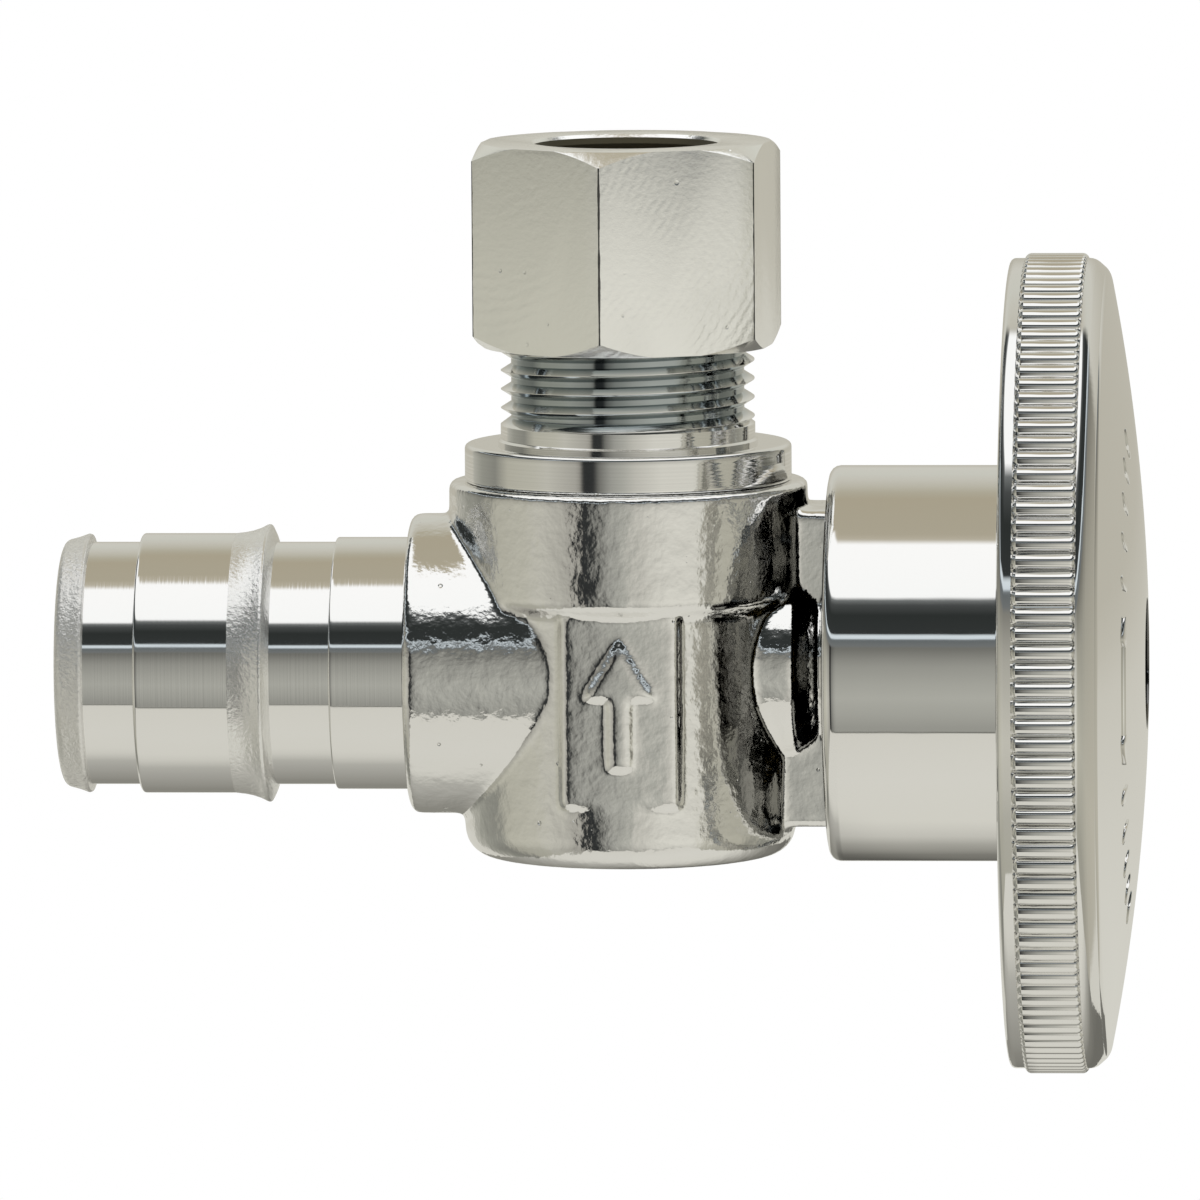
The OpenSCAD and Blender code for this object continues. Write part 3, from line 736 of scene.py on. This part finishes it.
# %% Adapter
flange_top = 12.5
thread_start = flange_top + 1.2
thread_crest, thread_root, pitch = 7.1425, 6.56, 1.0583
adapter_r, bore_r, socket_r, socket_floor = 7.93, 3.5, 4.8125, 15.1
groove_low, groove_high, groove_floor = 8.95, 10.25, 6.7
adapter = to_object(lathe([
    (bore_r, ring_low.z), (adapter_r, ring_low.z), (adapter_r, groove_low), (groove_floor, groove_low),
    (groove_floor, groove_high), (adapter_r, groove_high), (adapter_r, barrel_top),
    (ring_high.y, barrel_top), (ring_high.y, flange_top), (7.32, flange_top),
    (7.32, flange_top + 0.18), (7.165, flange_top + 0.3), (7.165, thread_start - 0.1),
    (thread_root, thread_start + 0.35), (thread_root, ring_high.z),
    (5.95, ring_high.z), (socket_r, ring_high.z - 1.6), (socket_r, socket_floor), (bore_r, socket_floor)],
    "z", (barrel_x, 0, 0), {7: 0.15, 8: 0.25, 13: 0.08}, 160), "outlet_ring")
belongs(adapter, "body", "turned_chrome", turned_plate, "outlet_adapter")


def screw_thread(crest, root, low, high, lead, centre_x, steps=96):
    """A climbing V ridge; its ends fade into the core."""
    bm = bmesh.new()
    half, flat, sunk = lead * 0.36, lead * 0.015, root - 0.15
    ridge = [(sunk, -half - 0.02), (root, -half), (crest, -flat), (crest, flat),
             (root, half), (sunk, half + 0.02)]
    verts = [bm.verts.new(Vector((centre_x + r, 0, low + half + z)) * MM) for r, z in ridge]
    face = bm.faces.new(verts)
    count = round((high - low - 2 * half) / lead * steps)
    bmesh.ops.spin(bm, geom=[face] + list(face.edges) + verts, cent=Vector((centre_x, 0, 0)) * MM,
                   axis=Vector((0, 0, 1)), dvec=Vector((0, 0, lead / steps)) * MM,
                   angle=2 * math.pi * count / steps, steps=count)
    bmesh.ops.recalc_face_normals(bm, faces=bm.faces)
    return bm


thread = to_object(screw_thread(thread_crest, thread_root, thread_start - 1.15, ring_high.z,
                                pitch, barrel_x), "outlet_thread", 20)
belongs(thread, "body", "turned_chrome", turned_plate, "outlet_adapter")

# %% [markdown]
# The compression nut starts as a six-sided bar. A cone turned at each end
# cuts its corners to the curved bevels of a real nut, a bore goes through,
# and a narrow bevel softens the edges that are left.

# %% Compression nut
nut_face = 8.02
corner_r = nut_face / math.cos(math.radians(30))
face_r, bevel_h, nut_turned = nut_face + 0.12, 1.5, 24
hexagon = bmesh.new()
bmesh.ops.create_cone(hexagon, cap_ends=True, segments=6, radius1=corner_r * MM, radius2=corner_r * MM,
                      depth=(nut_high.z - nut_low.z) * MM,
                      matrix=Matrix.Translation(Vector((barrel_x, 0, (nut_high.z + nut_low.z) / 2)) * MM)
                      @ Matrix.Rotation(math.radians(nut_turned + 30), 4, "Z"))
nut = to_object(hexagon, "nut_hex")
cut(nut, to_object(lathe([
    (0, nut_low.z), (face_r, nut_low.z), (face_r + 2, nut_low.z + bevel_h),
    (face_r + 2, nut_high.z - bevel_h), (face_r, nut_high.z), (0, nut_high.z)],
    "z", (barrel_x, 0, 0), segments=192), "tool"), "INTERSECT")
thread_bore, cone_start, cone_end, tube_hole, mouth = 7.2, 26.3, 27.65, 4.9125, 5.4
cut(nut, to_object(lathe([
    (0, nut_low.z - 1), (7.5, nut_low.z - 1), (7.5, nut_low.z), (thread_bore, nut_low.z + 0.5),
    (thread_bore, cone_start), (6.25, cone_start), (tube_hole, cone_end), (tube_hole, nut_high.z - 0.5),
    (mouth, nut_high.z), (mouth, nut_high.z + 1), (0, nut_high.z + 1)],
    "z", (barrel_x, 0, 0), segments=128), "tool"))
soften = nut.modifiers.new("soften", "BEVEL")
soften.width = 0.08 * MM
soften.segments = 3
soften.limit_method = "ANGLE"
soften.angle_limit = math.radians(20)
apply_modifiers(nut)
nut.data.shade_smooth()
nut.data.set_sharp_from_angle(angle=math.radians(30))
belongs(nut, "nut", "nut_chrome", nut_plate, "compression_nut")

# %% [markdown]
# The wheel is moulded plastic with chrome plate: a shallow dome in front, a
# hollow skirt and a hub behind. One outline holds them all, and its dome has
# many short steps, because a mirror shows every long one.

# %% Wheel
rim_r, recess_r, screw_hole = 22.8, 3.7, 1.75
wheel_back = wheel_low.x + 10.25
rim_front = wheel_low.x + 15.7
crown_rise = 2.3
crown = rim_front + crown_rise - 0.05
dome_r = (rim_r ** 2 + crown_rise ** 2) / (2 * crown_rise)
grip_x0, grip_x1 = wheel_low.x + 11.1, wheel_low.x + 14.6
grip_bed, web_x = rim_r - 0.2, 37.3
pocket_out, pocket_in, pocket_floor = 20.9, 12.55, wheel_back + 3.5
skirt_out, skirt_in, skirt_end, skirt_floor = 11.15, 10.15, wheel_low.x + 0.05, 35.9
hub_out, hub_in, hub_end, hub_floor = 6.4, 4.62, 30.6, 35.98


def dome(radius):
    """How far along the axis the face is, at a distance from the axis."""
    return crown - dome_r + math.sqrt(dome_r ** 2 - radius ** 2)


dome_points = [(r, dome(r)) for r in [recess_r + (rim_r - 0.7 - recess_r) * i / 42 for i in range(43)]]
outline = [(screw_hole, web_x), (recess_r, web_x)] + dome_points + [
    (rim_r, rim_front - 0.7), (rim_r, grip_x1 + 0.02), (grip_bed, grip_x1 - 0.12),
    (grip_bed, grip_x0 + 0.12), (rim_r, grip_x0 - 0.02), (rim_r, wheel_back),
    (pocket_out, wheel_back), (pocket_out, pocket_floor), (pocket_in, pocket_floor),
    (pocket_in, wheel_back), (skirt_out, wheel_back), (skirt_out, skirt_end),
    (skirt_in, skirt_end), (skirt_in, skirt_floor), (hub_out, skirt_floor), (hub_out, hub_end),
    (hub_in, hub_end), (hub_in, hub_floor), (screw_hole, hub_floor)]
n = len(dome_points)
rounds = {2: 0.06, n + 1: 0.3, n + 2: 0.3, n + 7: 0.28, n + 8: 0.4, n + 9: 0.5, n + 10: 0.5,
          n + 11: 0.4, n + 12: 0.3, n + 13: 0.6, n + 14: 0.12}
wheel = to_object(lathe(outline, "x", rounds=rounds, segments=256), "handle_wheel")
belongs(wheel, "handle", "handle_plate", wheel_plate, "handle")

# %% [markdown]
# The rim carries many small straight grips, each one half round with rounded
# ends. A single grip is made from a cylinder of few faces, sunk halfway into
# the rim, and copied round it.

# %% Grips on the rim
grip_count = 140
grip_r = 0.485


def turn_about_x(bm, verts, angle):
    bmesh.ops.rotate(bm, verts=verts, cent=(0, 0, 0), matrix=Matrix.Rotation(angle, 3, "X"))


first = bmesh.new()
bmesh.ops.create_cone(first, cap_ends=True, segments=10, radius1=grip_r * MM, radius2=grip_r * MM,
                      depth=(grip_x1 - grip_x0) * MM, matrix=Matrix.Rotation(math.radians(90), 4, "Y"))
round_edges(first, [e for e in first.edges if abs(e.verts[0].co.x - e.verts[1].co.x) < 1e-7], 0.28)
bmesh.ops.translate(first, verts=first.verts, vec=Vector(
    ((grip_x0 + grip_x1) / 2, 0, wheel_high.z - grip_r)) * MM)
pattern = bpy.data.meshes.new("one_grip")
first.to_mesh(pattern)
first.free()
grips = bmesh.new()
for turn in range(grip_count):
    before = len(grips.verts)
    grips.from_mesh(pattern)
    grips.verts.ensure_lookup_table()
    turn_about_x(grips, grips.verts[before:], 2 * math.pi * turn / grip_count)
bpy.data.meshes.remove(pattern)
belongs(to_object(grips, "handle_grips"), "handle", "handle_plate", wheel_plate, "handle")

# %% [markdown]
# Moulded parts are thin, so webs stiffen them: six stand in the pocket behind
# the rim. Two wide ribs inside the skirt meet the stop bar, a quarter turn
# apart, and are a short outline spun through their angle.

# %% Webs behind the wheel
web_half, rib_in, rib_out, rib_angle = 0.6, 8.2, 10.4, 39
webs = bmesh.new()
for turn in range(6):
    piece = volume_block((wheel_back + 0.8, -web_half, 12.3), (wheel_back + 3.6, web_half, 21.2), 0.15)
    turn_about_x(piece, piece.verts, math.radians(60 * turn))
    webs = join([webs, piece])


def stop_rib(turned):
    """The inner rib that meets the stop bar a quarter turn apart."""
    bm = bmesh.new()
    rib_end, rib_floor = wheel_low.x + 0.6, 36.0
    corners = [(rib_in, rib_end), (rib_out, rib_end), (rib_out, rib_floor), (rib_in, rib_floor)]
    verts = [bm.verts.new(Vector((x, 0, r)) * MM) for r, x in corners]
    face = bm.faces.new(verts)
    bmesh.ops.spin(bm, geom=[face] + list(face.edges) + verts, cent=(0, 0, 0), axis=Vector((-1, 0, 0)),
                   angle=math.radians(rib_angle), steps=12)
    turn_about_x(bm, bm.verts, math.radians(turned - 25.5))
    bmesh.ops.recalc_face_normals(bm, faces=bm.faces)
    return bm


webs = join([webs, stop_rib(0), stop_rib(180)])
belongs(to_object(webs, "handle_webs"), "handle", "handle_plate", wheel_plate, "handle")

# %% [markdown]
# Low marks stand on the face: a double-headed arrow for the way to turn, and
# plain ticks on both sides of it. Each is a chain of small rings of edges that
# follows the dome, bridged into a skin, with a width given at every step.

# %% Raised marks on the face
mark_r, arrow_reach, head_reach = 14.5, 11, 7
rounded_section = ((-1, None), (-0.8, 0.55), (-0.35, 1), (0.35, 1), (0.8, 0.55), (1, None))
sunk = -0.2


def ridge_on_dome(angles, widths, height):
    """A low rounded ridge that follows the dome along a part of a circle."""
    bm = bmesh.new()
    loops = []
    for degrees_on, width in zip(angles, widths):
        turn = math.radians(degrees_on)
        ring = []
        for across, share in rounded_section:
            radius = mark_r + across * width / 2
            lift = sunk if share is None else height * share
            ring.append(bm.verts.new(Vector((dome(radius) + lift, -radius * math.cos(turn),
                                             radius * math.sin(turn))) * MM))
        loops.append([bm.edges.new((ring[i], ring[(i + 1) % 6])) for i in range(6)])
    for one, two in zip(loops, loops[1:]):
        bmesh.ops.bridge_loops(bm, edges=one + two)
    bmesh.ops.edgeloop_fill(bm, edges=loops[0] + loops[-1])
    bmesh.ops.recalc_face_normals(bm, faces=bm.faces)
    return bm


head_widths = [0.3, 1.1, 1.7, 1.75, 1.6, 1.4, 1.2, 0.95, 0.7, 0.45, 0.15]
line_angles = range(-arrow_reach, arrow_reach + 1)
ridges = [ridge_on_dome(line_angles, [0.45] * len(line_angles), 0.14)]
for way in (1, -1):
    head_angles = [way * (arrow_reach - 1.5 + i * head_reach / 10) for i in range(11)]
    ridges.append(ridge_on_dome(head_angles, head_widths, 0.14))
tick_steps = (-1.5, -1.1, -0.5, 0, 0.5, 1.1, 1.5)
for way in (1, -1):
    for tick in (24, 34, 44, 54, 64):
        ridges.append(ridge_on_dome([way * tick + step for step in tick_steps],
                                    [0.5, 1.8, 2.3, 2.4, 2.3, 1.8, 0.5], 0.08))
belongs(to_object(join(ridges), "handle_marks", 60), "handle", "handle_plate", wheel_plate, "handle")

# %% [markdown]
# A pan-head screw holds the wheel on its stem. The head is turned, and two
# narrow blocks cut the cross for the driver.

# %% Handle screw
screw_low, screw_high = box_mm("handle_screw")
seat = box_mm("lock_washer")[1].x + 0.02
head_r, shank_r = screw_high.z, 1.5
screw = to_object(lathe([
    (0, screw_low.x), (1.2, screw_low.x), (shank_r, screw_low.x + 0.4), (shank_r, seat), (head_r, seat),
    (head_r, seat + 0.75), (head_r * 0.75, seat + 1.3), (head_r * 0.4, screw_high.x), (0, screw_high.x)],
    "x", rounds={4: 0.15, 5: 0.4, 6: 0.3, 7: 0.2}, segments=96), "handle_screw_head")
for turn in (0, 90):
    slot_tool = volume_block((seat + 0.5, -1.6, -0.3), (seat + 3, 1.6, 0.3), 0.05)
    turn_about_x(slot_tool, slot_tool.verts, math.radians(turn))
    cut(screw, to_object(slot_tool, "tool"))
screw.data.shade_smooth()
screw.data.set_sharp_from_angle(angle=math.radians(30))
belongs(screw, "handle", "brass", brass_metal, "handle_screw")

# %% [markdown]
# The studio. Chrome shows nothing but its room, so the room is what makes it
# look like chrome: a bright soft box above, a dark strip under it, a grey wall
# and a pale table. The room is painted on the world by direction, and the eye
# of the camera sees it plain white.

# %% Room


def ramp(tree, value, scale, stops):
    """Colours or greys along a value. Each stop's place goes through scale first."""
    made = node(tree, "ShaderNodeValToRGB")
    band = made.color_ramp.elements
    for i, (at, colour) in enumerate(stops):
        stop = band[i] if i < 2 else band.new(scale(at))
        stop.position = scale(at)
        stop.color = (colour, colour, colour, 1) if isinstance(colour, float) else (*colour, 1)
    tree.links.new(value, made.inputs["Fac"])
    return made.outputs["Color"]


def at_rise(degrees):
    return degrees / 180 + 0.5


def at_swing(degrees):
    return degrees / 360 + 0.5


world = bpy.data.worlds.new("studio")
bpy.context.scene.world = world
world.use_nodes = True
room = world.node_tree
parts = node(room, "ShaderNodeSeparateXYZ")
room.links.new(node(room, "ShaderNodeTexCoord").outputs["Generated"], parts.inputs[0])
rise = sums(room, "ADD", sums(room, "DIVIDE", sums(room, "ARCSINE", parts.outputs["Z"]), math.pi), 0.5)
swing = sums(room, "ARCTAN2", parts.outputs["X"], sums(room, "MULTIPLY", parts.outputs["Y"], -1))
swing = sums(room, "ADD", sums(room, "DIVIDE", swing, 2 * math.pi), 0.5)

# %% [markdown]
# In front hangs the soft box over a dark gap. The wall goes all round at the
# height of the eye and fades upwards. Behind hangs a warm curtain that pales
# towards the floor. Places on these ramps are degrees up or round.

# %% Walls and soft box
front = ramp(room, rise, at_rise, [
    (-90, (0.33, 0.33, 0.30)), (15, (0.18, 0.19, 0.19)), (19.6, (0.13, 0.145, 0.15)),
    (20.4, (0.66, 0.73, 0.78)), (22.2, (0.70, 0.77, 0.81)), (23.2, (0.034, 0.038, 0.038)),
    (34, (0.028, 0.032, 0.031)), (40, (0.065, 0.07, 0.07)), (43, (0.17, 0.18, 0.18)),
    (45, (1.03, 1.04, 1.04)), (79, (1.05, 1.05, 1.05)), (82.5, (0.50, 0.46, 0.37)),
    (86, (0.44, 0.40, 0.31)), (90, (0.435, 0.397, 0.306))])
wall = ramp(room, swing, at_swing, [
    (-180, (0.50, 0.49, 0.44)), (-149, (0.55, 0.54, 0.48)), (-123, (0.31, 0.31, 0.27)),
    (-105, (0.25, 0.25, 0.22)), (-91, (0.46, 0.45, 0.38)), (-67, (0.50, 0.49, 0.42)),
    (-56, (0.53, 0.52, 0.46)), (-34, (0.40, 0.39, 0.35)), (-30.5, (0.30, 0.29, 0.26)),
    (-29, (0.06, 0.06, 0.055)), (-28, (0.028, 0.030, 0.030)), (-20.5, (0.032, 0.034, 0.034)),
    (-17, (0.17, 0.17, 0.155)), (-8.7, (0.34, 0.34, 0.31)), (0, (0.42, 0.42, 0.38)),
    (9, (0.54, 0.53, 0.48)), (27, (0.67, 0.66, 0.60)), (50, (0.67, 0.66, 0.60)),
    (58, (0.58, 0.57, 0.50)), (64, (0.45, 0.44, 0.37)), (90, (0.42, 0.41, 0.35)),
    (130, (0.46, 0.44, 0.37)), (180, (0.50, 0.49, 0.44))])
fall = ramp(room, rise, at_rise, [
    (-90, 0.84), (-31.6, 0.84), (-24, 0.98), (-14, 1.10), (-6, 1.0), (0, 0.89), (4, 0.82), (8, 0.69),
    (14, 0.46), (18, 0.38)])
lit_wall = node(room, "ShaderNodeMix", data_type="RGBA", blend_type="MULTIPLY")
lit_wall.inputs["Factor"].default_value = 1.0
room.links.new(wall, lit_wall.inputs["A"])
room.links.new(fall, lit_wall.inputs["B"])
behind = ramp(room, rise, at_rise, [
    (-90, (0.60, 0.59, 0.53)), (-9, (0.66, 0.65, 0.59)), (-6.4, (0.60, 0.585, 0.52)),
    (-5.2, (0.50, 0.48, 0.41)), (2, (0.50, 0.48, 0.41)), (15, (0.62, 0.61, 0.55)),
    (29, (0.613, 0.613, 0.552)), (39, (0.586, 0.572, 0.507)), (48, (0.527, 0.507, 0.429)),
    (55, (0.459, 0.429, 0.339)), (62, (0.429, 0.386, 0.291)), (90, (0.435, 0.397, 0.306))])

# %% [markdown]
# The parts of the room meet in soft steps. Front and back change over far
# round the side, and close to the plane of the camera straight overhead.

# %% Room put together
above = mixed(room, step_between(room, rise, at_rise(14.5), at_rise(16.5)),
              lit_wall.outputs["Result"], front)
side = sums(room, "ABSOLUTE", sums(room, "SUBTRACT", swing, 0.5))
turned_away = step_between(room, side, 136 / 360, 142 / 360)
sideways = sums(room, "ABSOLUTE", parts.outputs["X"])
narrow = sums(room, "SUBTRACT", 1.0, step_between(room, sideways, 0.2, 0.4))
overhead = sums(room, "MULTIPLY", narrow, step_between(room, parts.outputs["Y"], -0.03, 0.03))
overhead = sums(room, "MULTIPLY", overhead, step_between(room, rise, 0.6, 0.7))
blend_out = mixed(room, sums(room, "MAXIMUM", turned_away, overhead), above, behind)
paths = node(room, "ShaderNodeLightPath")
seen = mixed(room, paths.outputs["Is Camera Ray"], blend_out, (1.0, 1.0, 1.0))
room.links.new(seen, room.nodes["Background"].inputs["Color"])
print("nodes in the room", len(room.nodes))

# %% [markdown]
# The table is a plain sheet that only the chrome sees in colour. It glows with
# a tone that darkens with depth, with a shade at its far right, where the
# wheel stands over it, and a weaker one at its far left, under the spigot.

# %% Table
bpy.context.scene.view_settings.view_transform = "Standard"
table = bmesh.new()
table_x, table_y, table_z = (-0.075, 0.170), (-0.184, 0.420), -0.12
bmesh.ops.create_grid(table, x_segments=4, y_segments=8, size=0.5)
bmesh.ops.scale(table, verts=table.verts, vec=(table_x[1] - table_x[0], table_y[1] - table_y[0], 1))
bmesh.ops.translate(table, verts=table.verts, vec=(sum(table_x) / 2, sum(table_y) / 2, table_z))
table_object = to_object(table, "table")
table_paper = bpy.data.materials.new("table_paper")
table_paper.use_nodes = True
paper = table_paper.node_tree
glow = node(paper, "ShaderNodeEmission")
x, y, z = place_parts(paper)
far = node(paper, "ShaderNodeMapRange")
far.inputs["From Min"].default_value = table_y[0]
far.inputs["From Max"].default_value = table_y[1]
paper.links.new(y, far.inputs["Value"])
depth = far.outputs["Result"]


def at_depth(metres):
    return (metres - table_y[0]) / (table_y[1] - table_y[0])


DEEP_SHADE = (0.03, 0.03, 0.027)
tone = ramp(paper, depth, at_depth, [
    (table_y[0], (0.17, 0.17, 0.15)), (-0.1795, (0.17, 0.17, 0.15)), (-0.178, (0.67, 0.657, 0.60)),
    (-0.06, (0.70, 0.69, 0.635)), (0.01, (0.69, 0.68, 0.62)), (0.04, (0.59, 0.58, 0.53)),
    (0.08, (0.51, 0.50, 0.45)), (0.15, (0.44, 0.43, 0.38)), (table_y[1], (0.42, 0.41, 0.36))])
shade = ramp(paper, depth, at_depth, [
    (table_y[0], 0.0), (0.045, 0.0), (0.072, 0.24), (0.10, 0.36), (0.143, 0.56), (0.257, 0.68)])
shade = sums(paper, "MULTIPLY", shade, step_between(paper, x, -0.015, 0.012))
tone = mixed(paper, shade, tone, DEEP_SHADE)
dim = ramp(paper, depth, at_depth, [
    (table_y[0], 0.0), (-0.02, 0.03), (-0.005, 0.10), (0.017, 0.33), (0.17, 0.44)])
dim = sums(paper, "MULTIPLY", dim, sums(paper, "SUBTRACT", 1.0, step_between(paper, x, 0.012, 0.022)))
tone = mixed(paper, dim, tone, DEEP_SHADE)
eye_sees = node(paper, "ShaderNodeLightPath").outputs["Is Camera Ray"]
paper.links.new(mixed(paper, eye_sees, tone, (1.0, 1.0, 1.0)), glow.inputs["Color"])
paper.links.new(glow.outputs[0], paper.nodes["Material Output"].inputs["Surface"])
table_object.data.materials.append(table_paper)

# %% [markdown]
# The camera stands 0.9 m away with a long lens, a little to the right and a
# little above. A very small roll keeps the axis of the spigot level in view.

# %% View
view = bpy.data.cameras.new("view")
view.sensor_width = 36
view.lens = 479
eye = bpy.data.objects.new("view", view)
bpy.context.scene.collection.objects.link(eye)
swing_angle, rise_angle, distance = math.radians(3.8), math.radians(6.1), 0.900
aim = Vector((barrel_x - 1.65, 0, 3.57)) * MM
eye.location = aim + distance * Vector((
    math.sin(swing_angle) * math.cos(rise_angle), -math.cos(swing_angle) * math.cos(rise_angle),
    math.sin(rise_angle)))
level = Matrix.Rotation(-math.sin(swing_angle) * math.sin(rise_angle), 3, "Z")
eye.rotation_euler = ((aim - eye.location).to_track_quat("-Z", "Y").to_matrix() @ level).to_euler()
bpy.context.scene.camera = eye
print("camera at", tuple(round(v, 3) for v in eye.location))
